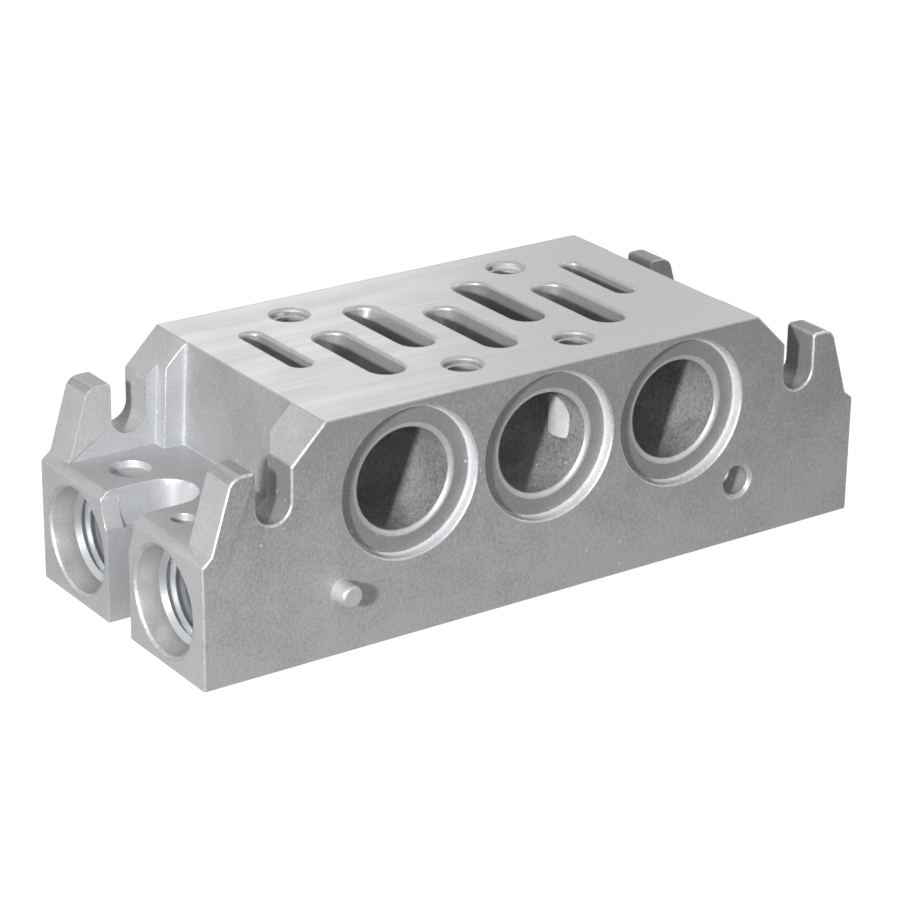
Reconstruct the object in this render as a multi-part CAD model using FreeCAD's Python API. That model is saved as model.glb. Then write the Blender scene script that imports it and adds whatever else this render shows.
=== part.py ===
import FreeCAD
import Part
import math
import os

from FreeCAD import Vector

# Valve base plate: one aluminium casting that carries a size 1 directional valve and gangs with its
# neighbours. All sizes in millimetres. The plate stands on its flat underside. X runs along the plate,
# with the threaded outlets at -X, Y runs across it from the near to the far joint face, and Z is up.
# The origin is the middle of the footprint, on the underside.

# Outline of the casting
PLATE_LENGTH = 106.0
PLATE_WIDTH = 42.0
PLATE_HEIGHT = 32.5
VALVE_FACE_LENGTH = 70.0

# Flanges along both long sides, with a lug and an open screw slot at each end
FLANGE_THICKNESS = 5.6
LUG_HEIGHT = 28.0
LUG_TIP_FROM_END = 4.4
LUG_TIP_ROUNDING = 2.0
LUG_INNER_ROUNDING = 0.6
SHOULDER_HEIGHT = 17.0
SHOULDER_ROUNDING = 0.5
SHOULDER_WIDTH = 1.4
SHOULDER_RISE = 1.1
LUG_FOOT_ROUNDING = 0.4
TIE_SLOT_WIDTH = 5.1
TIE_SLOT_FROM_END = 10.45
TIE_SLOT_BOTTOM = 20.4
SLOPE_FOOT_HEIGHT = 27.5
FACE_EDGE_BREAK = 0.2

# End pockets between the flanges, with a pad beside the end wall and a ledge below
LEDGE_HEIGHT = 18.0
END_WALL_SET = 0.6
END_WALL_DRAFT = 0.7
PAD_THICKNESS = 2.4
PAD_LENGTH = 3.05
POCKET_ROUNDING = 0.7

# Notch for the mounting screw in the middle of each end, with a seat for its head
NOTCH_WIDTH = 5.7
HEAD_SEAT_WIDTH = 8.7
HEAD_SEAT_HEIGHT = 12.9
HEAD_SEAT_DRAFT = 0.7
HEAD_SEAT_LENGTH = 4.55
NOTCH_FROM_END = 7.2

# Valve face: size 1 pattern of five port slots, two pilot slots and four screw holes
PATTERN_OFFSET = 0.4
PORT_PITCH = 9.0
PORT_ROW_OFFSET = 3.1
PORT_SLOT_WIDTH = 4.9
PORT_SLOT_LENGTH = 17.6
PILOT_SLOT_OFFSET_X = 26.5
PILOT_SLOT_OFFSET_Y = 3.75
PILOT_SLOT_WIDTH = 2.9
PILOT_SLOT_LENGTH = 14.8
PILOT_SLOT_DEPTH = 4.0
SCREW_ROW_OFFSET = 14.0
SCREW_HOLE_RADIUS = 2.5
SCREW_HOLE_DEPTH = 12.0
SCREW_HOLE_CHAMFER = 0.3
SCREW_COLUMN_WALL = 0.6
SCREW_COLUMN_END = 2.0

# Galleries through the plate from joint face to joint face
GALLERY_SPACING = 22.1
GALLERY_HEIGHT = 21.3
GALLERY_RADIUS = 7.0
GALLERY_MOUTH_CHAMFER = 0.4
SEAL_RECESS_RADIUS = 10.3
SEAL_RECESS_DEPTH = 1.45

# Threaded outlets in the left end and their passages
OUTLET_OFFSET = 11.3
OUTLET_HEIGHT = 8.6
OUTLET_RECESS_RADIUS = 7.3
OUTLET_RECESS_DEPTH = 3.3
OUTLET_THREAD_RADIUS = 6.58
OUTLET_THREAD_LENGTH = 12.0
PASSAGE_RADIUS = 4.2
TURN_RADIUS = 3.9
WEB_PASSAGE_SHIFT = 2.05
WEB_PASSAGE_BEND_DEPTH = 8.5

# Locating pins and holes that line up ganged plates
LOCATOR_FROM_CENTRE = 32.5
LOCATOR_HEIGHT = 8.9
PIN_RADIUS = 1.55
PIN_PROJECTION = 2.7
PIN_CHAMFER = 0.25
LOCATING_HOLE_RADIUS = 2.1
LOCATING_HOLE_DEPTH = 4.0
LOCATING_HOLE_CHAMFER = 0.45

# Round marks of the casting tool on the tops of the two outlet bosses
MARK_DEPTH = 1.0
FAR_MARK_RADIUS = 2.75
FAR_MARK_FROM_END = 7.2
FAR_MARK_OFFSET = 9.3
NEAR_MARK_RADIUS = 1.5
NEAR_MARK_FROM_END = 4.8
NEAR_MARK_OFFSET = 8.5

OVERCUT = 5.0
SAME_PLACE = 1e-6
DRILL_POINT = math.radians(59.0)

half_length = PLATE_LENGTH / 2
half_width = PLATE_WIDTH / 2
half_face = VALVE_FACE_LENGTH / 2
X_AXIS, Y_AXIS, Z_AXIS = Vector(1, 0, 0), Vector(0, 1, 0), Vector(0, 0, 1)


def rounded_face(corners, place):
    """A flat face from corners (u, v, radius) in turn; place(u, v) gives the point in space."""
    starts, middles, ends = [], [], []
    for i, (u, v, radius) in enumerate(corners):
        corner = Vector(u, v, 0)
        before = Vector(*corners[i - 1][:2], 0) - corner
        after = Vector(*corners[(i + 1) % len(corners)][:2], 0) - corner
        half_angle = before.getAngle(after) / 2
        reach = radius / math.tan(half_angle)
        bisector = before.normalize() + after.normalize()
        centre = corner + bisector.normalize() * (radius / math.sin(half_angle))
        starts.append(corner + before * reach)
        ends.append(corner + after * reach)
        middles.append(centre + (corner - centre).normalize() * radius if radius else corner)
    edges = []
    for i, (u, v, radius) in enumerate(corners):
        start, middle, end = (place(p.x, p.y) for p in (starts[i], middles[i], ends[i]))
        if radius:
            edges.append(Part.Arc(start, middle, end).toShape())
        following = starts[(i + 1) % len(corners)]
        following = place(following.x, following.y)
        if end.distanceToPoint(following) > SAME_PLACE:
            edges.append(Part.LineSegment(end, following).toShape())
    return Part.Face(Part.Wire(edges))


def on_xz(y):
    return lambda x, z: Vector(x, y, z)


def on_xy(z):
    return lambda x, y: Vector(x, y, z)


def rod(radius, start, end):
    """A straight round bar from one point to another."""
    return Part.makeCylinder(radius, start.distanceToPoint(end), start, end - start)


def taper(radius_1, radius_2, start, end):
    return Part.makeCone(radius_1, radius_2, start.distanceToPoint(end), start, end - start)


def fused(shapes):
    return shapes[0].fuse(shapes[1:]).removeSplitter()


def carved(shape, tools):
    return shape.cut(tools).removeSplitter()


def both_ends(shape):
    return [shape, shape.mirror(Vector(), X_AXIS)]


def slot_outline(x, y, width, length, height):
    """A level face with round ends that runs along Y."""
    half, reach = width / 2, length / 2
    corners = [(x - half, y - reach, half), (x + half, y - reach, half),
               (x + half, y + reach, half), (x - half, y + reach, half)]
    return rounded_face(corners, on_xy(height))


def slot_prism(x, y, width, length, bottom):
    """An upright slot from the given height up through the valve face."""
    return slot_outline(x, y, width, length, bottom).extrude(Z_AXIS * (PLATE_HEIGHT + OVERCUT - bottom))


def flange_outline():
    """The plate seen from its long side: lugs, open screw slots, slopes and the valve face."""
    slot_middle = half_length - TIE_SLOT_FROM_END
    slot_half = TIE_SLOT_WIDTH / 2
    tip = half_length - LUG_TIP_FROM_END
    right = [
        (half_length, 0, 0),
        (half_length, SHOULDER_HEIGHT, SHOULDER_ROUNDING),
        (half_length - SHOULDER_WIDTH, SHOULDER_HEIGHT + SHOULDER_RISE, LUG_FOOT_ROUNDING),
        (tip, LUG_HEIGHT, LUG_TIP_ROUNDING),
        (slot_middle + slot_half, LUG_HEIGHT, LUG_INNER_ROUNDING),
        (slot_middle + slot_half, TIE_SLOT_BOTTOM, slot_half),
        (slot_middle - slot_half, TIE_SLOT_BOTTOM, slot_half),
        (slot_middle - slot_half, SLOPE_FOOT_HEIGHT, LUG_INNER_ROUNDING),
        (half_face, PLATE_HEIGHT, 0),
    ]
    left = [(-x, z, radius) for x, z, radius in reversed(right)]
    return right + left


def make_blank():
    face = rounded_face(flange_outline(), on_xz(-half_width))
    blank = face.extrude(Y_AXIS * PLATE_WIDTH)
    cast_edges = [edge for edge in blank.Edges
                  if edge.BoundBox.YLength < SAME_PLACE
                  and edge.BoundBox.ZMax > SAME_PLACE
                  and edge.BoundBox.ZMin < PLATE_HEIGHT - SAME_PLACE]
    return blank.makeChamfer(FACE_EDGE_BREAK, cast_edges)


def end_pocket():
    """The open space above the ledge, between the flanges, at the left end; its wall leans with the draft."""
    wall = -(half_face + END_WALL_SET)
    pad = wall - PAD_LENGTH
    outside = -(half_length + OVERCUT)
    flange = half_width - FLANGE_THICKNESS
    pad_face = flange - PAD_THICKNESS
    corners = [(outside, -flange, 0), (pad, -flange, 0), (pad, -pad_face, 0),
               (wall, -pad_face, POCKET_ROUNDING), (wall, pad_face, POCKET_ROUNDING),
               (pad, pad_face, 0), (pad, flange, 0), (outside, flange, 0)]
    wall_height = PLATE_HEIGHT - LEDGE_HEIGHT
    rise = Vector(END_WALL_DRAFT, 0, wall_height) * ((wall_height + OVERCUT) / wall_height)
    return rounded_face(corners, on_xy(LEDGE_HEIGHT)).extrude(rise)


def screw_notch():
    """The notch of the left end: a slot right through, a seat for the screw head and a flared way in."""
    middle = -(half_length - NOTCH_FROM_END)
    outside = -(half_length + OVERCUT)
    half_slot, half_seat = NOTCH_WIDTH / 2, HEAD_SEAT_WIDTH / 2
    above = LEDGE_HEIGHT + OVERCUT

    near, far, inner = PATTERN_OFFSET - half_slot, PATTERN_OFFSET + half_slot, middle + half_slot
    corners = [(outside, near, 0), (inner, near, half_slot), (inner, far, half_slot), (outside, far, 0)]
    through = rounded_face(corners, on_xy(-OVERCUT)).extrude(Z_AXIS * (above + OVERCUT))

    seat_start = middle - HEAD_SEAT_LENGTH
    rise = LEDGE_HEIGHT - HEAD_SEAT_HEIGHT
    half_floor = half_seat - HEAD_SEAT_DRAFT
    half_above = half_seat + HEAD_SEAT_DRAFT * OVERCUT / rise
    sides = [(-half_floor, HEAD_SEAT_HEIGHT, 0), (half_floor, HEAD_SEAT_HEIGHT, 0),
             (half_above, above, 0), (-half_above, above, 0)]
    profile = rounded_face(sides, lambda y, z: Vector(seat_start, PATTERN_OFFSET + y, z))
    seat = profile.extrude(X_AXIS * HEAD_SEAT_LENGTH)
    seat_end = taper(half_floor, half_above, Vector(middle, PATTERN_OFFSET, HEAD_SEAT_HEIGHT),
                     Vector(middle, PATTERN_OFFSET, above))

    spread = half_seat - half_slot
    sweep = (rise ** 2 + spread ** 2) / (2 * spread)
    half_turn = math.asin(rise / sweep) / 2
    bulge_out = half_seat - sweep + sweep * math.cos(half_turn)
    bulge = Vector(0, bulge_out, LEDGE_HEIGHT - sweep * math.sin(half_turn))
    side_low, side_high = Vector(0, half_slot, HEAD_SEAT_HEIGHT), Vector(0, half_seat, LEDGE_HEIGHT)
    top = Vector(0, half_seat, above)

    def other(point):
        return Vector(point.x, -point.y, point.z)

    edges = [Part.LineSegment(other(side_low), side_low).toShape(),
             Part.Arc(side_low, bulge, side_high).toShape(),
             Part.LineSegment(side_high, top).toShape(),
             Part.LineSegment(top, other(top)).toShape(),
             Part.LineSegment(other(top), other(side_high)).toShape(),
             Part.Arc(other(side_high), other(bulge), other(side_low)).toShape()]
    flare = Part.Face(Part.Wire(edges))
    flare.translate(Vector(outside, PATTERN_OFFSET, 0))
    flare = flare.extrude(X_AXIS * (seat_start - outside))
    return fused([through, seat, seat_end, flare])


def screw_places():
    """Middles of the four valve screw holes: the near pair is closer together than the far pair."""
    return [(side * reach * PORT_PITCH, PATTERN_OFFSET + row * SCREW_ROW_OFFSET)
            for row, reach in ((-1, 1), (1, 2)) for side in (-1, 1)]


def screw_hole(x, y):
    bottom = Vector(x, y, PLATE_HEIGHT - SCREW_HOLE_DEPTH)
    mouth = Vector(x, y, PLATE_HEIGHT)
    wide = SCREW_HOLE_RADIUS + SCREW_HOLE_CHAMFER
    point = bottom - Z_AXIS * (SCREW_HOLE_RADIUS / math.tan(DRILL_POINT))
    hole = rod(SCREW_HOLE_RADIUS, bottom, mouth + Z_AXIS * OVERCUT)
    chamfer = taper(SCREW_HOLE_RADIUS, wide, mouth - Z_AXIS * SCREW_HOLE_CHAMFER, mouth)
    return fused([hole, chamfer, taper(0, SCREW_HOLE_RADIUS, point, bottom)])


def screw_column(x, y):
    """The column of metal round a screw hole, which shows where it crosses a gallery."""
    radius = SCREW_HOLE_RADIUS + SCREW_COLUMN_WALL
    shoulder = Vector(x, y, PLATE_HEIGHT - SCREW_HOLE_DEPTH - SCREW_HOLE_RADIUS / 2)
    end = shoulder - Z_AXIS * SCREW_COLUMN_END
    return rod(radius, shoulder, Vector(x, y, PLATE_HEIGHT)).fuse(taper(radius / 2, radius, end, shoulder))


def gallery(x):
    """A round bore from joint face to joint face with a chamfered mouth in a flat seal recess."""
    def at(y):
        return Vector(x, y, GALLERY_HEIGHT)

    floor = half_width - SEAL_RECESS_DEPTH
    wide = GALLERY_RADIUS + GALLERY_MOUTH_CHAMFER
    neck = floor - GALLERY_MOUTH_CHAMFER
    pieces = [rod(GALLERY_RADIUS, at(-half_width), at(half_width))]
    for side in (-1, 1):
        pieces.append(rod(SEAL_RECESS_RADIUS, at(side * floor), at(side * (half_width + OVERCUT))))
        pieces.append(taper(GALLERY_RADIUS, wide, at(side * neck), at(side * floor)))
    return fused(pieces)


def web_passage(x):
    """A port slot that leans outward as it goes down, so that it clears the galleries on both sides."""
    y = PATTERN_OFFSET + PORT_ROW_OFFSET
    shift = math.copysign(WEB_PASSAGE_SHIFT, x)
    bend = PLATE_HEIGHT - WEB_PASSAGE_BEND_DEPTH
    mouth = slot_outline(x, y, PORT_SLOT_WIDTH, PORT_SLOT_LENGTH, PLATE_HEIGHT)
    lower = slot_outline(x + shift, y, PORT_SLOT_WIDTH, PORT_SLOT_LENGTH, bend)
    pieces = [mouth.extrude(Z_AXIS * OVERCUT),
              mouth.extrude(Vector(shift, 0, -WEB_PASSAGE_BEND_DEPTH)),
              lower.extrude(Z_AXIS * (OUTLET_HEIGHT - bend))]
    return pieces, x + shift


def port_slots():
    """Slots of the valve face that end in the plate: three in galleries, and the two pilot slots."""
    near_row = PATTERN_OFFSET - PORT_ROW_OFFSET
    pieces = [slot_prism(column * PORT_PITCH, near_row, PORT_SLOT_WIDTH, PORT_SLOT_LENGTH, GALLERY_HEIGHT)
              for column in (-2, 0, 2)]
    for side in (-1, 1):
        pieces.append(slot_prism(side * PILOT_SLOT_OFFSET_X, PATTERN_OFFSET + PILOT_SLOT_OFFSET_Y,
                                 PILOT_SLOT_WIDTH, PILOT_SLOT_LENGTH, PLATE_HEIGHT - PILOT_SLOT_DEPTH))
    return pieces


def outlet(side, passage_end):
    """A threaded outlet in the left end: drafted recess, thread bore, drill run-out and passage."""
    def at(x):
        return Vector(x, PATTERN_OFFSET + side * OUTLET_OFFSET, OUTLET_HEIGHT)

    face = -half_length
    thread_start = face + OUTLET_RECESS_DEPTH
    thread_end = thread_start + OUTLET_THREAD_LENGTH
    run_out = thread_end + (OUTLET_THREAD_RADIUS - PASSAGE_RADIUS) / math.tan(DRILL_POINT)
    draft = (OUTLET_RECESS_RADIUS - OUTLET_THREAD_RADIUS) / OUTLET_RECESS_DEPTH * OVERCUT
    return [taper(OUTLET_RECESS_RADIUS + draft, OUTLET_THREAD_RADIUS, at(face - OVERCUT), at(thread_start)),
            rod(OUTLET_THREAD_RADIUS, at(thread_start), at(thread_end)),
            taper(OUTLET_THREAD_RADIUS, PASSAGE_RADIUS, at(thread_end), at(run_out)),
            rod(PASSAGE_RADIUS, at(run_out), at(passage_end))]


def passages():
    """The two web passages with their outlets; the right one turns towards the near side low down."""
    left_pieces, left_x = web_passage(-PORT_PITCH)
    right_pieces, right_x = web_passage(PORT_PITCH)
    turn = rod(TURN_RADIUS, Vector(right_x, PATTERN_OFFSET - OUTLET_OFFSET, OUTLET_HEIGHT),
               Vector(right_x, PATTERN_OFFSET + PORT_ROW_OFFSET, OUTLET_HEIGHT))
    left = fused(left_pieces + outlet(1, left_x + PASSAGE_RADIUS))
    right = fused(right_pieces + [turn] + outlet(-1, right_x + PASSAGE_RADIUS))
    return [left, right]


def locating_hole(x, side):
    def at(depth):
        return Vector(x, side * (half_width - depth), LOCATOR_HEIGHT)

    wide = LOCATING_HOLE_RADIUS + LOCATING_HOLE_CHAMFER
    point = LOCATING_HOLE_DEPTH + LOCATING_HOLE_RADIUS / math.tan(DRILL_POINT) / 2
    return [rod(LOCATING_HOLE_RADIUS, at(LOCATING_HOLE_DEPTH), at(-OVERCUT)),
            taper(LOCATING_HOLE_RADIUS, wide, at(LOCATING_HOLE_CHAMFER), at(0)),
            taper(LOCATING_HOLE_RADIUS / 2, LOCATING_HOLE_RADIUS, at(point), at(LOCATING_HOLE_DEPTH))]


def locating_pin(x, side):
    def at(height):
        return Vector(x, side * (half_width + height), LOCATOR_HEIGHT)

    straight = PIN_PROJECTION - PIN_CHAMFER
    return [rod(PIN_RADIUS, at(-PIN_RADIUS), at(straight)),
            taper(PIN_RADIUS, PIN_RADIUS - PIN_CHAMFER, at(straight), at(PIN_PROJECTION))]


def tool_mark(radius, from_end, offset):
    low = Vector(from_end - half_length, PATTERN_OFFSET + offset, LEDGE_HEIGHT - MARK_DEPTH)
    return rod(radius, low, low + Z_AXIS * OVERCUT)


def make_plate():
    """The casting: blank, open ends, galleries, slots, holes and marks, and last the two cast-on pins."""
    plate = carved(make_blank(), both_ends(end_pocket()) + both_ends(screw_notch()))

    columns = [screw_column(x, y) for x, y in screw_places()]
    for x in (-GALLERY_SPACING, 0, GALLERY_SPACING):
        plate = carved(plate, [gallery(x).cut(columns)])
    plate = carved(plate, port_slots())
    plate = carved(plate, passages())
    plate = carved(plate, [screw_hole(x, y) for x, y in screw_places()])

    plate = carved(plate, locating_hole(LOCATOR_FROM_CENTRE, -1) + locating_hole(-LOCATOR_FROM_CENTRE, 1))
    plate = carved(plate, [tool_mark(FAR_MARK_RADIUS, FAR_MARK_FROM_END, FAR_MARK_OFFSET),
                           tool_mark(NEAR_MARK_RADIUS, NEAR_MARK_FROM_END, -NEAR_MARK_OFFSET)])
    return fused([plate] + locating_pin(-LOCATOR_FROM_CENTRE, -1) + locating_pin(LOCATOR_FROM_CENTRE, 1))


os.makedirs("parts", exist_ok=True)
plate = make_plate()
plate.Solids[0].exportStep("parts/base_plate.step")
print("solids", len(plate.Solids), "valid", plate.isValid(), "volume", round(plate.Volume, 1))
print("box", plate.BoundBox)
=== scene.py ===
# %% [markdown]
# A valve base plate in cast aluminium. One casting carries a pneumatic valve on its milled top, and
# plates like it are bolted side to side, so that three galleries run through the whole gang. The solid
# comes from the CAD side. Here it gets its finish: edges softened by blasting, sand-fine cast skin, a
# milled top, threads in the outlets and screw holes, and the light of a small studio.

# %% Load the frame
import math

import bmesh
import bpy
from mathutils import Matrix, Vector
from mathutils.bvhtree import BVHTree


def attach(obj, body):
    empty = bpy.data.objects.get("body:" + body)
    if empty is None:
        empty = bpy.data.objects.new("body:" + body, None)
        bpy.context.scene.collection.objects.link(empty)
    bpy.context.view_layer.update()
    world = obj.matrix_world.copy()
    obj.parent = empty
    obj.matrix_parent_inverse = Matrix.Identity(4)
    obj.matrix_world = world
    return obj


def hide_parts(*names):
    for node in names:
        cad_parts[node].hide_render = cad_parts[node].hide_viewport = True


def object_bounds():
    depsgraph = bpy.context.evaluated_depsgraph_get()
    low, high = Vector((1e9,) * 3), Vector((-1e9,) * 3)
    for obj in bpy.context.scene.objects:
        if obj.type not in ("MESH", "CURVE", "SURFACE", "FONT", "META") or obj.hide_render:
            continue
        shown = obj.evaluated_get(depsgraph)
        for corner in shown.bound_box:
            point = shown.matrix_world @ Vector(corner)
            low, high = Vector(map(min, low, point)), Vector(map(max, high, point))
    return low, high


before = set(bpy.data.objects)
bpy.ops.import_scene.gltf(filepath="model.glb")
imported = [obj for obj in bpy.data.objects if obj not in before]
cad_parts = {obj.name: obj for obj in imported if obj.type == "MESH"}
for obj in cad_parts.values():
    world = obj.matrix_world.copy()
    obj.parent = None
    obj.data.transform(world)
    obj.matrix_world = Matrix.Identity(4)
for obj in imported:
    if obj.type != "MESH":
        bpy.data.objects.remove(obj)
cad_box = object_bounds()
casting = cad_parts["base_plate"]
MM = 0.001
print("nodes", sorted(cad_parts), "triangles", len(casting.data.polygons))

# %% [markdown]
# The places that the finishes and threads need. They are the same dimensions as in the CAD source, in
# millimetres, and everything below is placed from them.

# %% Dimensions shared with the casting
PLATE_LENGTH, PLATE_WIDTH, PLATE_HEIGHT = 106.0, 42.0, 32.5
LEDGE_HEIGHT = 18.0
PATTERN_OFFSET, PORT_PITCH, SCREW_ROW_OFFSET = 0.4, 9.0, 14.0
GALLERY_SPACING, GALLERY_HEIGHT = 22.1, 21.3
GALLERY_RADIUS, SEAL_RECESS_RADIUS, SEAL_RECESS_DEPTH = 7.0, 10.3, 1.45
OUTLET_OFFSET, OUTLET_HEIGHT, OUTLET_RECESS_RADIUS, OUTLET_RECESS_DEPTH = 11.3, 8.6, 7.3, 3.3
OUTLET_THREAD_RADIUS, OUTLET_THREAD_LENGTH = 6.58, 12.0
LOCATOR_FROM_CENTRE, LOCATOR_HEIGHT = 32.5, 8.9
SCREW_HOLE_RADIUS = 2.5
SCREW_PLACES = [(side * reach * PORT_PITCH, PATTERN_OFFSET + row * SCREW_ROW_OFFSET)
                for row, reach in ((-1, 1), (1, 2)) for side in (-1, 1)]
print("screw holes at", [(x, round(y, 2)) for x, y in SCREW_PLACES])

# %% [markdown]
# The camera stands off the left end and looks slightly down. A long lens keeps the edges nearly
# parallel, as in a catalogue picture of a small part. Its direction is given as an azimuth, an
# elevation and a small roll, and its place as a distance and two offsets in the picture's own plane.

# %% Camera
CAMERA_AZIMUTH, CAMERA_ELEVATION, CAMERA_ROLL = -0.61255, 0.39086, 0.01307
CAMERA_DISTANCE, CAMERA_RIGHT, CAMERA_UP = 438.096, -0.658, 12.488
FOCAL_PIXELS, PICTURE_PIXELS, SENSOR_WIDTH = 3155.04, 900, 36.0


def make_camera():
    back = Vector((math.sin(CAMERA_AZIMUTH) * math.cos(CAMERA_ELEVATION),
                   -math.cos(CAMERA_AZIMUTH) * math.cos(CAMERA_ELEVATION),
                   math.sin(CAMERA_ELEVATION)))
    level = Vector((0, 0, 1)).cross(back).normalized()
    upright = back.cross(level)
    right = level * math.cos(CAMERA_ROLL) + upright * math.sin(CAMERA_ROLL)
    up = upright * math.cos(CAMERA_ROLL) - level * math.sin(CAMERA_ROLL)
    place = right * CAMERA_RIGHT + up * CAMERA_UP + back * CAMERA_DISTANCE
    place.y += PATTERN_OFFSET

    data = bpy.data.cameras.new("camera")
    data.sensor_width = SENSOR_WIDTH
    data.lens = FOCAL_PIXELS / PICTURE_PIXELS * SENSOR_WIDTH
    data.clip_start, data.clip_end = 0.01, 20
    camera = bpy.data.objects.new("camera", data)
    bpy.context.scene.collection.objects.link(camera)
    turn = Matrix((right, up, back)).transposed().to_4x4()
    camera.matrix_world = Matrix.Translation(place * MM) @ turn
    bpy.context.scene.camera = camera
    return camera


camera = make_camera()
print("camera at", [round(x, 4) for x in camera.matrix_world.translation])
print("lens", round(camera.data.lens, 1), "mm")

# %% [markdown]
# A metal shows what stands round it, so the studio matters as much as the metal. Four lamps light the
# part. A small key lamp off the left end throws the crisp shadows into bores and slots and draws the
# thin bright lines along the edges. A glow behind the part is mirrored by the milled top, which is
# brightest at its left end and falls off to the right. A weak lamp over the right end keeps the lugs
# there from going dark, and a large weak one in front opens the shadows of the joint face. Directions
# point from the part to the lamp, and distances and sizes are in metres.

# %% Lamps
KEY_DIRECTION, KEY_DISTANCE, KEY_SIZE, KEY_WATTS = (-0.84, -0.54, 0.36), 0.62, 0.045, 3.4
OVERHEAD_DIRECTION, OVERHEAD_DISTANCE, OVERHEAD_SIZE, OVERHEAD_WATTS = (0.9, 0.2, 1.0), 0.3, 0.2, 0.12
REAR_DIRECTION, REAR_DISTANCE, REAR_SIZE, REAR_WATTS = (0.27, 0.88, 0.46), 0.35, 0.2, 0.082
FILL_DIRECTION, FILL_DISTANCE, FILL_SIZE, FILL_WATTS = (-0.3, -1.0, 0.3), 0.5, 0.3, 0.5


def make_lamp(name, direction, distance, size, watts):
    data = bpy.data.lights.new(name, "AREA")
    data.energy = watts
    data.size = size
    lamp = bpy.data.objects.new(name, data)
    bpy.context.scene.collection.objects.link(lamp)
    lamp.location = Vector(direction).normalized() * distance
    lamp.rotation_euler = Vector(direction).to_track_quat("Z", "Y").to_euler()


make_lamp("key_lamp", KEY_DIRECTION, KEY_DISTANCE, KEY_SIZE, KEY_WATTS)
make_lamp("overhead_lamp", OVERHEAD_DIRECTION, OVERHEAD_DISTANCE, OVERHEAD_SIZE, OVERHEAD_WATTS)
make_lamp("rear_glow", REAR_DIRECTION, REAR_DISTANCE, REAR_SIZE, REAR_WATTS)
make_lamp("front_fill", FILL_DIRECTION, FILL_DISTANCE, FILL_SIZE, FILL_WATTS)

# %% [markdown]
# A dim world stands in for the room's walls. Only the camera and, less brightly, the metal's gloss see
# it as a white backdrop, so that the white sheds no light of its own on the part. Light Path tells the
# kinds of rays apart.

# %% World and backdrop
ROOM_LEVEL, BACKDROP_LEVEL, BACKDROP_GLOSS = 0.05, 1.0, 0.6


def backdrop_rays(tree, gloss):
    """1 for a ray from the camera, the given share for a ray that gloss or glass sends on."""
    path = tree.nodes.new("ShaderNodeLightPath")
    seen = path.outputs["Is Camera Ray"]
    for kind in ("Is Glossy Ray", "Is Transmission Ray"):
        share = tree.nodes.new("ShaderNodeMath")
        share.operation = "MULTIPLY"
        share.inputs[1].default_value = gloss
        tree.links.new(path.outputs[kind], share.inputs[0])
        either = tree.nodes.new("ShaderNodeMath")
        either.operation = "MAXIMUM"
        tree.links.new(seen, either.inputs[0])
        tree.links.new(share.outputs[0], either.inputs[1])
        seen = either.outputs[0]
    return seen


world = bpy.data.worlds.new("studio")
bpy.context.scene.world = world
world.use_nodes = True
background = world.node_tree.nodes["Background"]
background.inputs["Color"].default_value = (1, 1, 1, 1)
strength = world.node_tree.nodes.new("ShaderNodeMapRange")
strength.inputs["To Min"].default_value = ROOM_LEVEL
strength.inputs["To Max"].default_value = BACKDROP_LEVEL
world.node_tree.links.new(backdrop_rays(world.node_tree, BACKDROP_GLOSS), strength.inputs["Value"])
world.node_tree.links.new(strength.outputs[0], background.inputs["Strength"])
bpy.context.scene.view_settings.view_transform = "Standard"
print("world", world.name, "of strength", ROOM_LEVEL, "behind a backdrop of", BACKDROP_LEVEL)

# %% [markdown]
# The floor is a large grey card just under the part, which sends a little light up to it as a table
# does. Emission that only the camera and, more weakly, glossy rays see lifts it to the white of the
# backdrop, so that no horizon shows and hardly a shadow.

# %% Floor
FLOOR_HALF, FLOOR_DROP = 3.0, 0.0001
FLOOR_COLOUR, FLOOR_ROUGHNESS = (0.32, 0.32, 0.32, 1), 0.9
FLOOR_LIFT, FLOOR_GLOSS = 0.92, 0.12


def make_floor():
    mesh = bpy.data.meshes.new("floor")
    half = FLOOR_HALF
    corners = [(-half, -half, 0), (half, -half, 0), (half, half, 0), (-half, half, 0)]
    mesh.from_pydata(corners, [], [(0, 1, 2, 3)])
    floor = bpy.data.objects.new("floor", mesh)
    bpy.context.scene.collection.objects.link(floor)
    floor.location.z = -FLOOR_DROP
    material = bpy.data.materials.new("white_card")
    material.use_nodes = True
    tree = material.node_tree
    shader = tree.nodes["Principled BSDF"]
    shader.inputs["Base Color"].default_value = FLOOR_COLOUR
    shader.inputs["Roughness"].default_value = FLOOR_ROUGHNESS
    shader.inputs["Emission Color"].default_value = (1, 1, 1, 1)
    lift = tree.nodes.new("ShaderNodeMath")
    lift.operation = "MULTIPLY"
    lift.inputs[1].default_value = FLOOR_LIFT
    tree.links.new(backdrop_rays(tree, FLOOR_GLOSS), lift.inputs[0])
    tree.links.new(lift.outputs[0], shader.inputs["Emission Strength"])
    mesh.materials.append(material)


make_floor()
print("floor staged")

# %% [markdown]
# Effects that several finishes share are shader node groups. Each takes its coordinates from the object
# itself, in millimetres, and puts out a height for a Bump node and a tone that shifts colour and
# roughness. This first cell has the small helpers that the groups are built with.

# %% Helpers for shader groups
def new_group(name, inputs, outputs):
    """An empty shader group; inputs is {name: default}, outputs a list of names, all plain numbers."""
    tree = bpy.data.node_groups.new(name, "ShaderNodeTree")
    for key, default in inputs.items():
        socket = tree.interface.new_socket(name=key, in_out="INPUT", socket_type="NodeSocketFloat")
        socket.default_value = default
    for key in outputs:
        tree.interface.new_socket(name=key, in_out="OUTPUT", socket_type="NodeSocketFloat")
    return tree, tree.nodes.new("NodeGroupInput"), tree.nodes.new("NodeGroupOutput")


def feed(tree, value, socket):
    """Link an output to a socket, or write a plain number into it."""
    if isinstance(value, bpy.types.NodeSocket):
        tree.links.new(value, socket)
    else:
        socket.default_value = value


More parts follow.
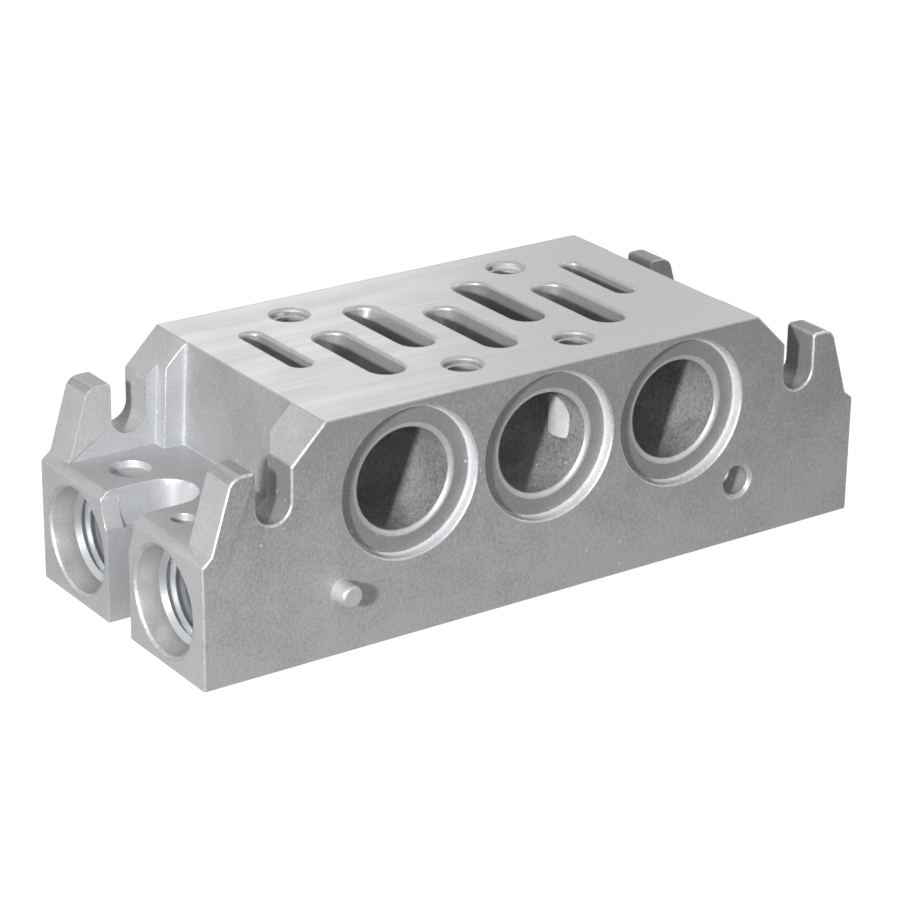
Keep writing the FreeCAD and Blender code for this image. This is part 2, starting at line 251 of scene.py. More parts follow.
def calc(tree, operation, *values, clamp=False):
    node = tree.nodes.new("ShaderNodeMath")
    node.operation = operation
    node.use_clamp = clamp
    for value, socket in zip(values, node.inputs):
        feed(tree, value, socket)
    return node.outputs[0]


def band(tree, value, low, high):
    """0 below low, 1 above high, smooth in between."""
    node = tree.nodes.new("ShaderNodeMapRange")
    node.interpolation_type = "SMOOTHSTEP"
    feed(tree, value, node.inputs["Value"])
    feed(tree, low, node.inputs["From Min"])
    feed(tree, high, node.inputs["From Max"])
    return node.outputs["Result"]


def millimetres(tree, stretch=(1, 1, 1)):
    """Object coordinates in millimetres, with each axis multiplied by its stretch."""
    place = tree.nodes.new("ShaderNodeTexCoord")
    scale = tree.nodes.new("ShaderNodeVectorMath")
    scale.operation = "MULTIPLY"
    scale.inputs[1].default_value = [value / MM for value in stretch]
    tree.links.new(place.outputs["Object"], scale.inputs[0])
    return scale.outputs["Vector"]


def noise(tree, vector, scale, detail=3.0, roughness=0.6):
    node = tree.nodes.new("ShaderNodeTexNoise")
    tree.links.new(vector, node.inputs["Vector"])
    feed(tree, scale, node.inputs["Scale"])
    node.inputs["Detail"].default_value = detail
    node.inputs["Roughness"].default_value = roughness
    return node.outputs["Fac"]


def split(tree, vector):
    node = tree.nodes.new("ShaderNodeSeparateXYZ")
    tree.links.new(vector, node.inputs[0])
    return node.outputs


print("object coordinates are multiplied by", 1 / MM)

# %% [markdown]
# Cast grain: the sand-fine skin that blasting leaves. Fine noise makes the grain, small round cells
# make pits, and slow noise makes the patches where the skin is a little lighter or darker.

# %% Cast grain
def make_cast_grain():
    tree, given, result = new_group("cast_grain", {"Grains per mm": 3.0, "Patches per mm": 0.12},
                                    ["Height", "Tone", "Patch"])
    place = millimetres(tree)
    fine = noise(tree, place, given.outputs["Grains per mm"], 3.0, 0.7)
    cells = tree.nodes.new("ShaderNodeTexVoronoi")
    tree.links.new(place, cells.inputs["Vector"])
    tree.links.new(given.outputs["Grains per mm"], cells.inputs["Scale"])
    pits = band(tree, cells.outputs["Distance"], 0.05, 0.45)
    height = calc(tree, "MULTIPLY_ADD", pits, 0.2, calc(tree, "MULTIPLY", fine, 0.8))
    tree.links.new(height, result.inputs["Height"])
    tree.links.new(band(tree, fine, 0.34, 0.66), result.inputs["Tone"])
    patch = noise(tree, place, given.outputs["Patches per mm"], 4.0, 0.65)
    tree.links.new(band(tree, patch, 0.32, 0.68), result.inputs["Patch"])
    return tree


cast_grain = make_cast_grain()
print("group", cast_grain.name, [item.name for item in cast_grain.interface.items_tree])

# %% [markdown]
# Milling lines: a face cutter crosses the top along its length and leaves faint parallel lines. Noise
# stretched far along X gives lines that start, fade and stop as real ones do.

# %% Milling lines
def make_milling_lines():
    tree, given, result = new_group("milling_lines", {"Lines per mm": 2.2}, ["Height", "Tone"])
    fine = noise(tree, millimetres(tree, (0.012, 1.0, 1.0)), given.outputs["Lines per mm"], 2.0, 0.6)
    broad = noise(tree, millimetres(tree, (0.02, 0.22, 1.0)), given.outputs["Lines per mm"], 2.0, 0.5)
    both = calc(tree, "MULTIPLY_ADD", broad, 0.45, calc(tree, "MULTIPLY", fine, 0.55))
    tree.links.new(both, result.inputs["Height"])
    tree.links.new(band(tree, both, 0.36, 0.64), result.inputs["Tone"])
    return tree


milling_lines = make_milling_lines()
print("group", milling_lines.name)

# %% [markdown]
# Flecks: where the blasting shot hit hard, or a burr was knocked off, bare metal glints. Cells of uneven
# size pick a few spots, and noise tears their outline.

# %% Bright flecks
def make_flecks():
    tree, given, result = new_group("bright_flecks", {"Flecks per mm": 0.8, "Rarity": 0.93}, ["Mask"])
    place = millimetres(tree)
    cells = tree.nodes.new("ShaderNodeTexVoronoi")
    tree.links.new(place, cells.inputs["Vector"])
    tree.links.new(given.outputs["Flecks per mm"], cells.inputs["Scale"])
    torn = calc(tree, "MULTIPLY_ADD", noise(tree, place, 4.0), 0.3, cells.outputs["Distance"])
    near = calc(tree, "SUBTRACT", 1.0, band(tree, torn, 0.22, 0.38))
    pick = split(tree, cells.outputs["Color"])[0]
    chosen = calc(tree, "GREATER_THAN", pick, given.outputs["Rarity"])
    crowd = band(tree, noise(tree, place, 0.1, 1.0), 0.45, 0.6)
    spots = calc(tree, "MULTIPLY", near, chosen)
    tree.links.new(calc(tree, "MULTIPLY", spots, crowd), result.inputs["Mask"])
    return tree


bright_flecks = make_flecks()
print("group", bright_flecks.name)

# %% [markdown]
# A finish is one material: a Principled BSDF whose colour runs between two tones, whose roughness swings
# a little about its middle, and whose normal comes from a group's height. Numbers that hold all over a
# surface stand on the shader's own sockets. These are the parts that every finish is put together from.

# %% Parts of a finish
def place_group(tree, group, values):
    node = tree.nodes.new("ShaderNodeGroup")
    node.node_tree = group
    for key, value in values.items():
        node.inputs[key].default_value = value
    return node.outputs


def between(tree, factor, low, high):
    """A number that runs from low to high with the factor."""
    return calc(tree, "MULTIPLY_ADD", factor, high - low, low)


def mix_colours(tree, factor, low, high):
    node = tree.nodes.new("ShaderNodeMix")
    node.data_type = "RGBA"
    feed(tree, factor, node.inputs["Factor"])
    feed(tree, low, node.inputs[6])
    feed(tree, high, node.inputs[7])
    return node.outputs[2]


def grey(level):
    """A neutral aluminium grey, a shade cooler than pure grey."""
    return (level * 0.985, level, level * 1.02, 1)


def bump(tree, height, depth_mm):
    node = tree.nodes.new("ShaderNodeBump")
    node.inputs["Strength"].default_value = 1.0
    node.inputs["Distance"].default_value = depth_mm * MM
    tree.links.new(height, node.inputs["Height"])
    return node.outputs["Normal"]


def new_finish(name, metallic):
    material = bpy.data.materials.new(name)
    material.use_nodes = True
    shader = material.node_tree.nodes["Principled BSDF"]
    shader.inputs["Metallic"].default_value = metallic
    return material, material.node_tree, shader


print("a middle grey of the casting", grey(0.5))

# %% [markdown]
# Eleven finishes share the recipe of the cast skin: grain, slow patches and bare flecks. An edge that
# is worn and painted bright as a highlight, a cored wall painted dark as shade, and a skin differ by
# their numbers alone, so that all of them stay one metal.

# %% Recipe of a cast finish
TONE_SHARE, PATCH_SHARE = 0.55, 0.45
ROUGHNESS_SWING, FLECK_LEVEL, FLECK_ROUGHNESS = 0.06, 0.9, -0.15


def cast_finish(name, dark, light, metallic, rough, depth_mm, flecks, grains=3.0, painted_bounce_fade=0.0):
    """A cast surface; painted bounce light makes the casting's foot lighter than its top."""
    material, tree, shader = new_finish(name, metallic)
    grain = place_group(tree, cast_grain, {"Grains per mm": grains})
    fleck = place_group(tree, bright_flecks, flecks)["Mask"]
    patches = calc(tree, "MULTIPLY", grain["Patch"], PATCH_SHARE)
    shade = calc(tree, "MULTIPLY_ADD", grain["Tone"], TONE_SHARE, patches)
    if painted_bounce_fade:
        # Painted bounce light: the colour runs lighter towards the foot and darker towards the top.
        height = split(tree, millimetres(tree))[2]
        painted_bounce_light = between(tree, height, painted_bounce_fade / 2, painted_bounce_fade / 2 - painted_bounce_fade / PLATE_HEIGHT)
        shade = calc(tree, "ADD", shade, painted_bounce_light)
    skin_colour = mix_colours(tree, shade, grey(dark), grey(light))
    flecked = mix_colours(tree, fleck, skin_colour, grey(FLECK_LEVEL))
    feed(tree, flecked, shader.inputs["Base Color"])
    roughness = between(tree, shade, rough + ROUGHNESS_SWING, rough - ROUGHNESS_SWING)
    polished = calc(tree, "MULTIPLY_ADD", fleck, FLECK_ROUGHNESS, roughness)
    feed(tree, polished, shader.inputs["Roughness"])
    feed(tree, bump(tree, grain["Height"], depth_mm), shader.inputs["Normal"])
    return material


print("flecks are of level", FLECK_LEVEL, "and smoother by", -FLECK_ROUGHNESS)

# %% [markdown]
# The milled top has a recipe of its own. Its tone and relief come from the cutter's lines, and only the
# slow patches of the casting show through.

# %% Recipe of a machined finish
LINE_SHARE, CUT_PATCH_SHARE = 0.7, 0.3


def cut_finish(name, group, dark, light, metallic, rough, depth_mm):
    """A machined surface: the lines of the group, and under them the slow patches of the casting."""
    material, tree, shader = new_finish(name, metallic)
    lines = place_group(tree, group, {})
    grain = place_group(tree, cast_grain, {})
    patches = calc(tree, "MULTIPLY", grain["Patch"], CUT_PATCH_SHARE)
    shade = calc(tree, "MULTIPLY_ADD", lines["Tone"], LINE_SHARE, patches)
    feed(tree, mix_colours(tree, shade, grey(dark), grey(light)), shader.inputs["Base Color"])
    roughness = between(tree, shade, rough + ROUGHNESS_SWING, rough - ROUGHNESS_SWING)
    feed(tree, roughness, shader.inputs["Roughness"])
    feed(tree, bump(tree, lines["Height"], depth_mm), shader.inputs["Normal"])
    return material


print("lines make", LINE_SHARE, "of the milled tone")

# %% [markdown]
# The numbers of each finish, in this order: the dark and the light tone, how much of it is bare metal,
# its roughness, the depth of its relief in millimetres, its flecks, and for some the grains per
# millimetre and the painted bounce light, which paints the foot lighter than the top. The joint face is
# darker and coarser than the skin, and a cored wall is the darkest, as painted shade in the galleries.

# %% Finishes
FINISHES = [
    cast_finish("cast_skin", 0.50, 0.66, 0.35, 0.55, 0.06, {"Flecks per mm": 0.7, "Rarity": 0.95}),
    # dull_skin_painted_shade: darker tone, painted shade for the end walls and the flanges' slopes.
    cast_finish("dull_skin_painted_shade", 0.38, 0.55, 0.40, 0.55, 0.08, {"Flecks per mm": 0.9, "Rarity": 0.94}, 2.4),
    # joint_face: its last number is painted bounce light, lighter at the foot.
    cast_finish("joint_face", 0.35, 0.54, 0.40, 0.55, 0.10, {"Flecks per mm": 0.9, "Rarity": 0.97}, 1.9, 0.9),
    # cored_wall_painted_shade: the darkest tone, painted shade in the galleries.
    cast_finish("cored_wall_painted_shade", 0.17, 0.47, 0.15, 0.55, 0.14, {"Flecks per mm": 1.1, "Rarity": 0.76}, 2.4),
    cast_finish("slot_wall", 0.50, 0.66, 0.55, 0.34, 0.02, {"Flecks per mm": 0.8, "Rarity": 0.98}),
    cast_finish("drawn_wall", 0.62, 0.76, 0.50, 0.36, 0.012, {"Flecks per mm": 0.8, "Rarity": 0.98}),
    cast_finish("outlet_wall", 0.42, 0.56, 0.45, 0.42, 0.03, {"Flecks per mm": 0.8, "Rarity": 0.97}),
    cut_finish("milled_face", milling_lines, 0.67, 0.75, 0.85, 0.40, 0.006),
    # seal_recess_and_painted_shade: also on the near tie slots' walls, where it is painted shade.
    cast_finish("seal_recess_and_painted_shade", 0.30, 0.43, 0.50, 0.46, 0.06, {"Flecks per mm": 0.8, "Rarity": 0.92}, 2.4),
    # recess_rim_and_painted_light: also the columns' finish, where it is a painted highlight.
    cast_finish("recess_rim_and_painted_light", 0.56, 0.80, 0.10, 0.55, 0.04, {"Flecks per mm": 1.2, "Rarity": 0.85}),
    cast_finish("gallery_lip", 0.60, 0.85, 0.70, 0.40, 0.02, {"Flecks per mm": 1.2, "Rarity": 0.85}),
    # worn_edge_and_painted_highlight: bright edge strips, partly wear and partly painted highlight.
    cast_finish("worn_edge_and_painted_highlight", 0.50, 0.98, 0.75, 0.42, 0.03, {"Flecks per mm": 1.6, "Rarity": 0.75}),
]
CAST, DULL_PAINTED_SHADE, JOINT, CORED_PAINTED_SHADE, SMOOTH, DRAWN, OUTLET, MILLED, RECESS_AND_PAINTED_SHADE, RIM_AND_PAINTED_LIGHT, LIP, WORN_AND_PAINTED_HIGHLIGHT = range(len(FINISHES))
print("finishes", [finish.name for finish in FINISHES])

# %% [markdown]
# What follows is decided by place: how far a point lies from the axis of a gallery, an outlet or the
# locating hole, and how deep behind a joint face. That is safer than face numbers, which change with
# every new mesh of the solid. Points are given in millimetres.

# %% Distances on the casting
NEAR_ENOUGH = 0.05


def from_gallery(point):
    """Distance of a point from the axis of the nearest gallery."""
    nearest = max(-1, min(1, round(point.x / GALLERY_SPACING)))
    return math.hypot(point.x - nearest * GALLERY_SPACING, point.z - GALLERY_HEIGHT)


def outlet_distance(point):
    """Distance of a point from the axis of the nearest outlet."""
    across = min(abs(point.y - PATTERN_OFFSET - side * OUTLET_OFFSET) for side in (-1, 1))
    return math.hypot(across, point.z - OUTLET_HEIGHT)


def locating_distance(point):
    """Distance of a point from the axis of the locating hole."""
    return math.hypot(abs(point.x) - LOCATOR_FROM_CENTRE, point.z - LOCATOR_HEIGHT)


def joint_depth(point):
    """Distance of a point behind the nearer joint face."""
    return PLATE_WIDTH / 2 - abs(point.y)


columns = [from_gallery(Vector((x, y, GALLERY_HEIGHT))) for x, y in SCREW_PLACES]
print("screw columns stand", [round(distance, 1) for distance in columns], "mm off the galleries' axes")

# %% [markdown]
# The solid arrives as triangles. They are welded and merged into large flat faces, so that only real
# edges are left to round. The joint faces are first cut through the middle of their holes. Otherwise
# Blender would tie each hole to the outline by some edge that is left over, and a rounded strip that
# slides along that edge would tear the face.

# %% Flat areas
WELD_DISTANCE, SLIVER_LENGTH = 0.002, 0.02
FLAT_ANGLE, FLAT_NORMAL = math.radians(0.3), 0.999
X_AXIS, Z_AXIS = Vector((1, 0, 0)), Vector((0, 0, 1))


def is_joint(face):
    """True for the flat faces that meet the next plate and for the floors of the seal recesses."""
    depth = joint_depth(face.calc_center_median() / MM)
    return abs(face.normal.y) > FLAT_NORMAL and depth < SEAL_RECESS_DEPTH + NEAR_ENOUGH


def cut_joint_faces(bm, place, across):
    """Cut the joint faces by the plane at a place in millimetres, and mark the cuts as seams."""
    faces = [face for face in bm.faces if is_joint(face)]
    rims = {part for face in faces for part in (*face.edges, *face.verts)}
    cut = bmesh.ops.bisect_plane(bm, geom=faces + list(rims), dist=WELD_DISTANCE * MM,
                                 plane_co=place * MM, plane_no=across)["geom_cut"]
    for item in cut:
        if isinstance(item, bmesh.types.BMEdge):
            item.seam = True


shell = bmesh.new()
shell.from_mesh(casting.data)
bmesh.ops.remove_doubles(shell, verts=shell.verts, dist=WELD_DISTANCE * MM)
bmesh.ops.dissolve_degenerate(shell, edges=shell.edges, dist=SLIVER_LENGTH * MM)
cut_joint_faces(shell, Z_AXIS * LOCATOR_HEIGHT, Z_AXIS)
for x in (-GALLERY_SPACING, 0, GALLERY_SPACING):
    cut_joint_faces(shell, X_AXIS * x, X_AXIS)
bmesh.ops.dissolve_limit(shell, angle_limit=FLAT_ANGLE, verts=shell.verts, edges=shell.edges,
                         delimit={"SEAM"})
print("triangles", len(casting.data.polygons), "merged into faces", len(shell.faces))

# %% [markdown]
# Each face gets its finish from where it lies and where it looks. The end walls and the flanges' slopes
# are painted darker than the rest of the skin, as painted shade. In the galleries the seal recess, its
# rim, the lip behind it and the cored wall, painted dark as shade, each have their own, and the columns
# round the screws take the rim's light finish as a painted highlight. The values are the reach of a
# feature in millimetres, and how far a face's normal may lean.

# %% Faces of the end walls, slopes and galleries
MOSTLY, HALF_WAY, SLOPE_LEAN = 0.9, 0.5, 0.4
END_WALL_START, END_WALL_REACH, WALL_HALF_WIDTH = 34.5, 36.5, 14.0
SLOPE_FOOT = 27.0
MOUTH_CHAMFER = 0.4
COLUMN_LEAN, COLUMN_INSET = 0.02, 0.1


def is_end_wall(middle, normal):
    return END_WALL_START < abs(middle.x) < END_WALL_REACH and abs(normal.x) > MOSTLY \
        and middle.z > LEDGE_HEIGHT and abs(middle.y) < WALL_HALF_WIDTH


def is_slope(middle, normal):
    """The flanges' slopes look up and outward at half a right angle."""
    return middle.z > SLOPE_FOOT and HALF_WAY < normal.z < MOSTLY and abs(normal.x) > SLOPE_LEAN \
        and abs(middle.x) > END_WALL_REACH


def gallery_finish(middle, normal, depth, reach):
    """The finish of a face in a seal recess or a gallery, or None; reach is its farthest corner's."""
    mouth = GALLERY_RADIUS + MOUTH_CHAMFER
    if 0 < depth < SEAL_RECESS_DEPTH + NEAR_ENOUGH and reach < SEAL_RECESS_RADIUS + NEAR_ENOUGH:
        return RECESS_AND_PAINTED_SHADE if abs(normal.y) > HALF_WAY else RIM_AND_PAINTED_LIGHT
    if SEAL_RECESS_DEPTH < depth < SEAL_RECESS_DEPTH + MOUTH_CHAMFER and reach < mouth + NEAR_ENOUGH:
        return LIP
    if depth > SEAL_RECESS_DEPTH and from_gallery(middle) < mouth:
        # The columns get the light rim finish, a painted highlight in the galleries.
        column_painted_light = abs(normal.z) < COLUMN_LEAN and from_gallery(middle) < GALLERY_RADIUS - COLUMN_INSET
        return RIM_AND_PAINTED_LIGHT if column_painted_light else CORED_PAINTED_SHADE
    return None


print("duller faces", sum(is_end_wall(face.calc_center_median() / MM, face.normal)
                          or is_slope(face.calc_center_median() / MM, face.normal) for face in shell.faces))

# %% [markdown]
# The outlets, the slots, the slots for the tie rods, the notches and the locating hole follow, and what
# is left is plain cast skin. The walls of the near tie slots take the dark recess finish as painted
# shade. The order matters where features meet, because the first match holds.

# %% Finish of each face
STRAIGHT, A_LITTLE, WALL_LEAN = 0.99, 0.3, 0.8
PILOT_REACH, SLOT_REACH = 30.0, 18.0
NOTCH_REACH, NOTCH_END = 4.6, 40.0
TIE_SLOT_INNER, TIE_SLOT_OUTER, FLANGE_DEPTH = 39.5, 46.5, 6.0
HOLE_REACH, HOLE_DEPTH = 2.6, 5.5


def finish_of(face):
    """The finish of a face, from where it lies and where it looks."""
    middle = face.calc_center_median() / MM
    normal = face.normal
    depth = joint_depth(middle)
    if middle.z > PLATE_HEIGHT - NEAR_ENOUGH and normal.z > STRAIGHT:
        return MILLED
    if abs(depth) < NEAR_ENOUGH and abs(normal.y) > STRAIGHT:
        return JOINT
    # End walls and slopes get the darker finish as painted shade.
    if is_end_wall(middle, normal) or is_slope(middle, normal):
        return DULL_PAINTED_SHADE
    reach = max(from_gallery(vertex.co / MM) for vertex in face.verts)
    in_gallery = gallery_finish(middle, normal, depth, reach)
    if in_gallery is not None:
        return in_gallery
    end_depth = PLATE_LENGTH / 2 - abs(middle.x)
    in_outlet = outlet_distance(middle) < OUTLET_RECESS_RADIUS + NEAR_ENOUGH and middle.x < -PLATE_LENGTH / 4
    if in_outlet and end_depth > NEAR_ENOUGH:
        return OUTLET
    in_slots = abs(middle.x) < PILOT_REACH and GALLERY_HEIGHT < middle.z and abs(middle.y) < SLOT_REACH
    if in_slots and abs(normal.z) < WALL_LEAN:
        return SMOOTH
    shaded_tie_slot = TIE_SLOT_INNER < abs(middle.x) < TIE_SLOT_OUTER and middle.z > LEDGE_HEIGHT \
        and depth < FLANGE_DEPTH and middle.y < 0
    # The near tie slots' walls get the dark recess finish as painted shade.
    if shaded_tie_slot and abs(normal.y) < A_LITTLE:
        return RECESS_AND_PAINTED_SHADE
    in_notch = abs(middle.y - PATTERN_OFFSET) < NOTCH_REACH and abs(middle.x) > NOTCH_END \
        and middle.z < LEDGE_HEIGHT and end_depth >= NEAR_ENOUGH
    if in_notch and abs(normal.z) < WALL_LEAN:
        return DRAWN
    if locating_distance(middle) < HOLE_REACH and 0 < depth < HOLE_DEPTH:
        return SMOOTH
    return CAST


for face in shell.faces:
    face.material_index = finish_of(face)
used = {finish.name: sum(face.material_index == i for face in shell.faces)
        for i, finish in enumerate(FINISHES)}
print("faces of each finish", used)

# %% [markdown]
# The solid has knife-sharp edges, which no blasted casting has, so each gets a narrow rounded strip.
# The rims of recesses, galleries, outlets and slots are rounder than the rest and are picked by place,
# one kind at a time. Edges inside the galleries stay as they are, because a sand core leaves nothing
# crisp there.

# %% Which edges are rounded together
SHARP_ANGLE = math.radians(44)
CORE_DEPTH, CORE_REACH = 2.2, 7.2
SCREW_CLEARANCE = 0.5


def on_ring(point, depth, radius):
    """True at the given depth behind a joint face and the given distance from a gallery's axis."""
    return abs(joint_depth(point) - depth) < NEAR_ENOUGH and abs(from_gallery(point) - radius) < NEAR_ENOUGH


def at_recess_corner(point):
    return on_ring(point, SEAL_RECESS_DEPTH, SEAL_RECESS_RADIUS)


def at_recess_mouth(point):
    return on_ring(point, 0, SEAL_RECESS_RADIUS)


def at_gallery_lip(point):
    return on_ring(point, SEAL_RECESS_DEPTH, GALLERY_RADIUS + MOUTH_CHAMFER)


def at_outlet_mouth(point):
    return abs(point.x + PLATE_LENGTH / 2) < NEAR_ENOUGH \
        and abs(outlet_distance(point) - OUTLET_RECESS_RADIUS) < NEAR_ENOUGH


def at_slot_mouth(point):
    from_screw = min(math.hypot(point.x - x, point.y - y) for x, y in SCREW_PLACES)
    return abs(point.z - PLATE_HEIGHT) < NEAR_ENOUGH and abs(point.x) < PILOT_REACH \
        and abs(point.y) < SLOT_REACH and from_screw > SCREW_HOLE_RADIUS + SCREW_CLEARANCE


def anywhere(point):
    return True


def in_core(point):
    return joint_depth(point) > CORE_DEPTH and from_gallery(point) < CORE_REACH


def ends_match(edge, test):
    return all(test(vertex.co / MM) for vertex in edge.verts)


def is_sharp(edge):
    return edge.calc_face_angle(0) > SHARP_ANGLE and not ends_match(edge, in_core)


for test in (at_recess_corner, at_recess_mouth, at_gallery_lip, at_outlet_mouth, at_slot_mouth, anywhere):
    count = sum(is_sharp(edge) and ends_match(edge, test) for edge in shell.edges)
    print("sharp edges", test.__name__.replace("_", " "), count)

# %% [markdown]
# Blender's bevel makes the strips, and it can overshoot where several edges crowd together. So each
# point that strays from the solid is put back on its surface, each that slides far along it is pulled
# back to its edge, and none leaves the casting's box. A strip on an outer edge gets a bright finish,
# partly wear and partly painted highlight; one in an inner corner keeps the skin.

# %% Rounding
EDGE_ROUNDING, SLOT_ROUNDING, OUTLET_ROUNDING = 0.14, 0.5, 0.45
RECESS_ROUNDING, RIM_ROUNDING, LIP_ROUNDING = 0.35, 0.25, 0.35
STRAY_SHARE, SLIDE_SHARE = 0.5, 1.6
MILLED_RIM = 0.4


def soften(bm, test, width, segments, finish=None):
    """Round the sharp edges that pass the test by a width in millimetres; the strips get the finish."""
    edges = [edge for edge in bm.edges if is_sharp(edge) and ends_match(edge, test)]
    before = BVHTree.FromBMesh(bm)
    ends = [vertex.co.copy() for edge in edges for vertex in edge.verts]
    rounded = BVHTree.FromPolygons(ends, [(i, i + 1, i + 1) for i in range(0, len(ends), 2)])
    strips = bmesh.ops.bevel(bm, geom=edges, offset=width * MM, offset_type="OFFSET", segments=segments,
                             profile=0.5, affect="EDGES", clamp_overlap=False, loop_slide=True)["faces"]
    strays = slides = 0
    for vertex in {corner for face in strips for corner in face.verts}:
        nearest, _, _, distance = before.find_nearest(vertex.co)
        if distance > STRAY_SHARE * width * MM:
            vertex.co = nearest
            strays += 1
        nearest, _, _, distance = rounded.find_nearest(vertex.co)
        if distance > SLIDE_SHARE * width * MM:
            vertex.co = nearest.lerp(vertex.co, width * MM / distance)
            slides += 1
        vertex.co = [min(max(value, low), high) for value, low, high in zip(vertex.co, *cad_box)]
    for face in strips:
        middle = face.calc_center_median()
        nearest, outward, _, _ = before.find_nearest(middle)
        if finish is not None:
            face.material_index = finish
        # Outer edge strips get the bright finish, partly wear and partly painted highlight.
        elif (middle - nearest).dot(outward) < 0 and middle.z < (PLATE_HEIGHT - MILLED_RIM) * MM:
            face.material_index = WORN_AND_PAINTED_HIGHLIGHT
    print("rounded", len(edges), "edges by", width, "mm, put back", strays, "strays and", slides, "slides")


soften(shell, at_recess_corner, RECESS_ROUNDING, 3, RIM_AND_PAINTED_LIGHT)
soften(shell, at_recess_mouth, RIM_ROUNDING, 2, RIM_AND_PAINTED_LIGHT)
soften(shell, at_gallery_lip, LIP_ROUNDING, 3, LIP)
soften(shell, at_outlet_mouth, OUTLET_ROUNDING, 3)
soften(shell, at_slot_mouth, SLOT_ROUNDING, 4, SMOOTH)
soften(shell, anywhere, EDGE_ROUNDING, 2)

# %% [markdown]
# A few points on the outlines of large faces have passed their neighbours by now. They are drawn back,
# or the face would lie over itself and show a black tear.

# %% Folds
FOLD_CORNERS, FOLD_SHARE, FOLD_LENGTH = 5, 0.8, 1.0


def unfold(bm):
    """Draw back the points that a rounding pushed past their neighbours."""
    folds = 0
    for face in bm.faces:
        corners = list(face.verts)
        if len(corners) < FOLD_CORNERS:
            continue
        for before, corner, after in zip(corners[-1:] + corners[:-1], corners, corners[1:] + corners[:1]):
            come, go = corner.co - before.co, after.co - corner.co
            turns_back = come.dot(go) < -FOLD_SHARE * come.length * go.length
            if turns_back and min(come.length, go.length) < FOLD_LENGTH * MM:
                corner.co = before.co if come.length < go.length else after.co
                folds += 1
    print("unfolded", folds, "corners")


unfold(shell)

# %% [markdown]
# The rounded shell becomes the casting's skin, with all finishes in their slots. Normals weighted by
# area keep the large flat faces flat beside their strips, and edges that are still sharp stay sharp.

# %% Skin of the casting
def make_skin():
    for edge in shell.edges:
        edge.smooth = edge.calc_face_angle(0) < SHARP_ANGLE
    mesh = bpy.data.meshes.new("casting_skin")
    shell.to_mesh(mesh)
    shell.free()
    for polygon in mesh.polygons:
        polygon.use_smooth = True
    for finish in FINISHES:
        mesh.materials.append(finish)
    skin = bpy.data.objects.new("casting_skin", mesh)
    bpy.context.scene.collection.objects.link(skin)
    weighted = skin.modifiers.new("flat_faces_stay_flat", "WEIGHTED_NORMAL")
    weighted.weight = 100
    weighted.mode = "FACE_AREA"
    weighted.keep_sharp = True
    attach(skin, "root")
    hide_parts("base_plate")
    return skin


skin = make_skin()
print("faces of the skin", len(skin.data.polygons))

# %% [markdown]
# The threads are too fine for the solid, whose bores stand at the thread's outer radius. Here each gets
# the ridge that a tap leaves: a triangle wound round the bore as one long helix, sunk a little into the
# wall so that no gap shows, with its first and last quarter turn running out to almost nothing. A ring
# at the mouth stands for the countersink. The ridge's foot, land and start are shares of the pitch.

# %% Cross-sections of a thread
RIDGE_SINK, POINTS_PER_TURN = 0.12, 48
RIDGE_FOOT, RIDGE_LAND, RIDGE_START = 0.44, 0.07, 0.3
RIDGE_LOWEST, RUN_OUT_TURNS = 0.05, 0.25
RING_LAND, RING_FOOT = 0.05, 0.2


def ring_faces(first, count, closed):
    """Quads between count cross-sections of four points each; closed joins the last to the first."""
    faces = []
    for i in range(count if closed else count - 1):
        a, b = first + 4 * i, first + 4 * ((i + 1) % count)
        faces += [(a + k, a + (k + 1) % 4, b + (k + 1) % 4, b + k) for k in range(4)]
    return faces


def thread_points(place, wall, crest, pitch, length, lead_in):
    """Points and faces of the ring at the mouth and of the ridge behind it."""
    mouth_lip = crest + RIDGE_SINK
    points = []
    for i in range(POINTS_PER_TURN):
        for reach, along in ((wall, -RIDGE_SINK), (mouth_lip, lead_in), (mouth_lip, lead_in + RING_LAND),
                             (wall, lead_in + RING_FOOT)):
            points.append(place(i / POINTS_PER_TURN, reach, along))
    faces = ring_faces(0, POINTS_PER_TURN, True)

    first = len(points)
    count = round(POINTS_PER_TURN * (length - lead_in - pitch) / pitch)
    for i in range(count + 1):
        turn, turns_left = i / POINTS_PER_TURN, (count - i) / POINTS_PER_TURN
        height = min(1, max(RIDGE_LOWEST, min(turn, turns_left) / RUN_OUT_TURNS))
        inner = wall + (crest - wall) * height
        middle = lead_in + pitch * (RIDGE_START + turn)
        foot, land = pitch * RIDGE_FOOT * height, pitch * RIDGE_LAND * height
        for reach, offset in ((wall, -foot), (inner, -land), (inner, land), (wall, foot)):
            points.append(place(turn, reach, middle + offset))
    last = len(points) - 4
    faces += ring_faces(first, count + 1, False)
    faces += [(first, first + 3, first + 2, first + 1), tuple(range(last, last + 4))]
    return points, faces


print("a ridge has", POINTS_PER_TURN, "cross-sections a turn")

# %% [markdown]
# One thread is one mesh, placed along its bore. Its flanks are shaded smooth along the helix, and its
# edges stay crisp because they are steeper than the crease angle.

# %% One thread
CREASE_ANGLE = math.radians(25)


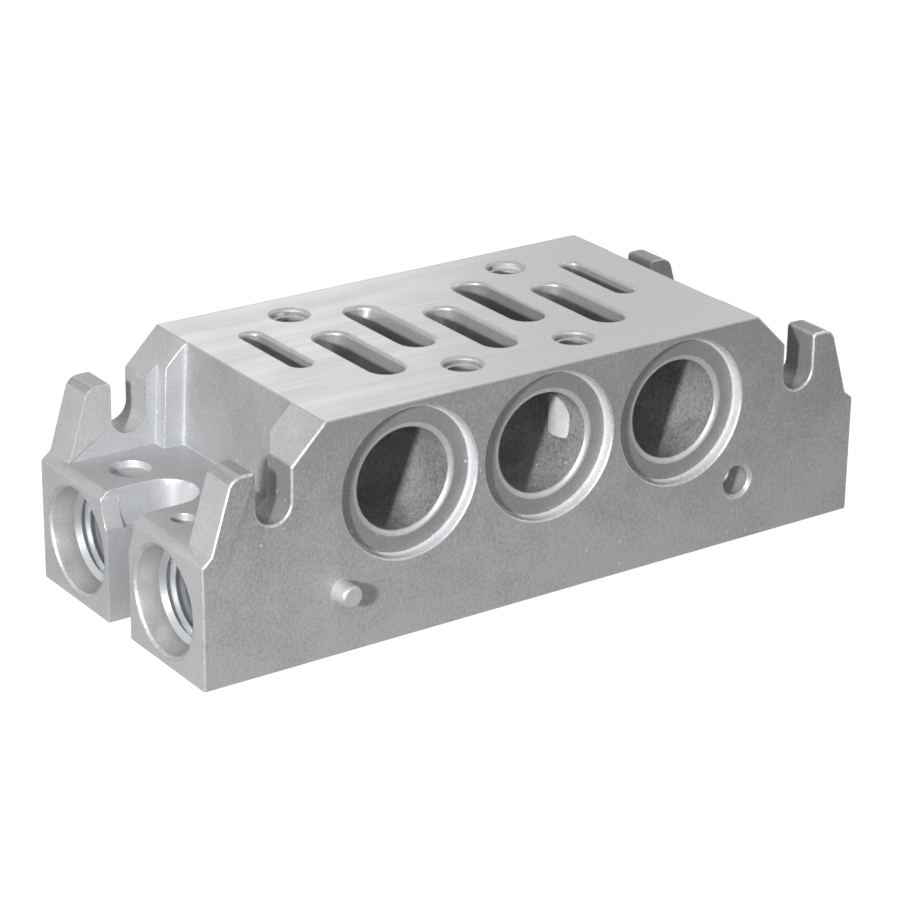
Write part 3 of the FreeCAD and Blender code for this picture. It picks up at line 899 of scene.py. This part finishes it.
def thread_ridge(name, metal, mouth, inward, side, radius, crest, pitch, length, lead_in):
    """The thread of one bore, from its mouth inward; side is any way across the bore."""
    across = inward.cross(side)

    def place(turn, reach, along):
        out = side * math.cos(math.tau * turn) + across * math.sin(math.tau * turn)
        return (mouth + inward * along + out * reach) * MM

    points, faces = thread_points(place, radius + RIDGE_SINK, crest, pitch, length, lead_in)
    mesh = bpy.data.meshes.new(name)
    mesh.from_pydata(points, [], faces)
    bm = bmesh.new()
    bm.from_mesh(mesh)
    bmesh.ops.recalc_face_normals(bm, faces=bm.faces)
    bm.to_mesh(mesh)
    bm.free()
    for polygon in mesh.polygons:
        polygon.use_smooth = True
    mesh.set_sharp_from_angle(angle=CREASE_ANGLE)
    ridge = bpy.data.objects.new(name, mesh)
    bpy.context.scene.collection.objects.link(ridge)
    mesh.materials.append(metal)
    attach(ridge, "root")
    return ridge


print("creases start at", round(math.degrees(CREASE_ANGLE)), "degrees")

# %% [markdown]
# The two outlets have a pipe thread, freshly cut and bright, so it gets a plain metal of its own. The
# four screw holes in the top are small and look like the slots beside them, so they share their finish.

# %% Threads
OUTLET_PITCH, OUTLET_CREST_RADIUS, OUTLET_LEAD_IN = 1.337, 5.72, 0.65
SCREW_PITCH, SCREW_CREST_RADIUS, SCREW_LEAD_IN = 0.8, 2.18, 0.15
SCREW_THREAD_START, SCREW_THREAD_LENGTH = 1.0, 10.0
THREAD_METALLIC, THREAD_LEVEL, THREAD_ROUGHNESS = 0.9, 0.88, 0.25
thread_metal, _, thread_shader = new_finish("cut_thread", THREAD_METALLIC)
thread_shader.inputs["Base Color"].default_value = grey(THREAD_LEVEL)
thread_shader.inputs["Roughness"].default_value = THREAD_ROUGHNESS

threads = []
for name, offset in (("near", -OUTLET_OFFSET), ("far", OUTLET_OFFSET)):
    mouth = Vector((-PLATE_LENGTH / 2 + OUTLET_RECESS_DEPTH, PATTERN_OFFSET + offset, OUTLET_HEIGHT))
    threads.append(thread_ridge("outlet_thread_" + name, thread_metal, mouth, X_AXIS, Z_AXIS,
                                OUTLET_THREAD_RADIUS, OUTLET_CREST_RADIUS, OUTLET_PITCH,
                                OUTLET_THREAD_LENGTH, OUTLET_LEAD_IN))
for x, y in SCREW_PLACES:
    mouth = Vector((x, y, PLATE_HEIGHT - SCREW_THREAD_START))
    name = "screw_thread_%s_%s" % ("near" if y < 0 else "far", "left" if x < 0 else "right")
    threads.append(thread_ridge(name, FINISHES[SMOOTH], mouth, -Z_AXIS, X_AXIS,
                                SCREW_HOLE_RADIUS, SCREW_CREST_RADIUS, SCREW_PITCH,
                                SCREW_THREAD_LENGTH, SCREW_LEAD_IN))
print("threads", [(thread.name, len(thread.data.polygons)) for thread in threads])
